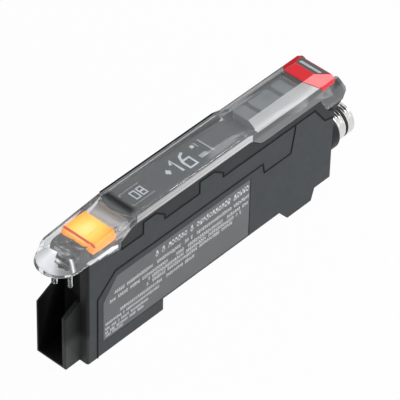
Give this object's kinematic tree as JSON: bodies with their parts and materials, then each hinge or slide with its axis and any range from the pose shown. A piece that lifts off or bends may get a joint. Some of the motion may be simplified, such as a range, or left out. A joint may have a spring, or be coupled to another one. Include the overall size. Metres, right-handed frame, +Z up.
{
  "type": "laser sensor amplifier",
  "caption": "Slim rail-mounted amplifier for a laser sensor, with a front sensor socket, a display and keys under a hinged clear cover, and a round threaded connector at the rear.",
  "frame": {"origin": "under the middle of the unit, on the plane of its feet", "axes": "+X to the right when looking from the sensor socket end, across the unit; +Y from the sensor socket to the round connector; +Z up, away from the rail"},
  "size_m": [0.0104, 0.091, 0.0327],
  "materials": {
    "housing": "fine matte, dark grey",
    "frame": "fine matte, dark grey",
    "plate": "satin grey film",
    "clear_cover": "clear, polished",
    "clear_nose": "clear, polished",
    "amber": "translucent amber, glossy",
    "red": "red, satin",
    "black": "black, satin",
    "display": "smoked, glossy",
    "keys": "satin grey",
    "lamp": "moulded lamp",
    "board": "green solder mask",
    "component": "black moulding",
    "steel": "plain steel",
    "plated_metal": "turned, nickel plated",
    "contact_metal": "gold flash",
    "rubber": "soft, matte"
  },
  "bodies": {
    "housing": {"case": "housing", "side_cover": "housing", "top_frame": "frame", "side_label": "plate", "nose_lens": "clear_nose", "indicator_lens": "amber", "light_guide": "clear_nose", "indicator_led": "lamp", "display_window": "display", "display_module": "component", "display_board": "board", "set_switch": "steel", "up_switch": "steel", "down_switch": "steel", "mode_switch": "steel", "main_board": "board", "processor_chip": "component", "power_coil": "component", "board_header": "component", "socket_carrier": "black", "socket_contacts": "contact_metal", "m8_collar": "black", "m8_gasket": "rubber", "m8_sleeve": "plated_metal", "m8_insert": "black", "m8_pins": "contact_metal", "m8_seal": "rubber"},
    "cover": {"dust_cover": "clear_cover", "cover_tag": "red", "tag_inlay": "black"},
    "set_key": {"set_button": "keys"},
    "rocker_key": {"adjust_rocker": "keys"},
    "mode_key": {"mode_button": "keys"},
    "claw": {"rail_claw": "black", "claw_spring": "steel"}
  },
  "joints": [
    {"name": "cover_hinge", "type": "hinge", "parent": "housing", "child": "cover", "pos_m": [0, 0.03725, 0.0257], "axis": [-1, 0, 0], "range_deg": [0, 105]},
    {"name": "set_button_press", "type": "slide", "parent": "housing", "child": "set_key", "axis": [0, 0, -1], "range_m": [0, 0.00025], "stiffness_N_per_m": 2500, "springref_m": -0.0002},
    {"name": "rocker_tilt", "type": "hinge", "parent": "housing", "child": "rocker_key", "pos_m": [0, 0.02045, 0.0289], "axis": [1, 0, 0], "range_deg": [-4, 4], "stiffness_Nm_per_rad": 0.01},
    {"name": "mode_button_press", "type": "slide", "parent": "housing", "child": "mode_key", "axis": [0, 0, -1], "range_m": [0, 0.00025], "stiffness_N_per_m": 2500, "springref_m": -0.0002},
    {"name": "rail_claw_slide", "type": "slide", "parent": "housing", "child": "claw", "axis": [0, 1, 0], "range_m": [0, 0.0015], "stiffness_N_per_m": 2000, "springref_m": -0.0005, "deforming": ["claw_spring"]}
  ]
}
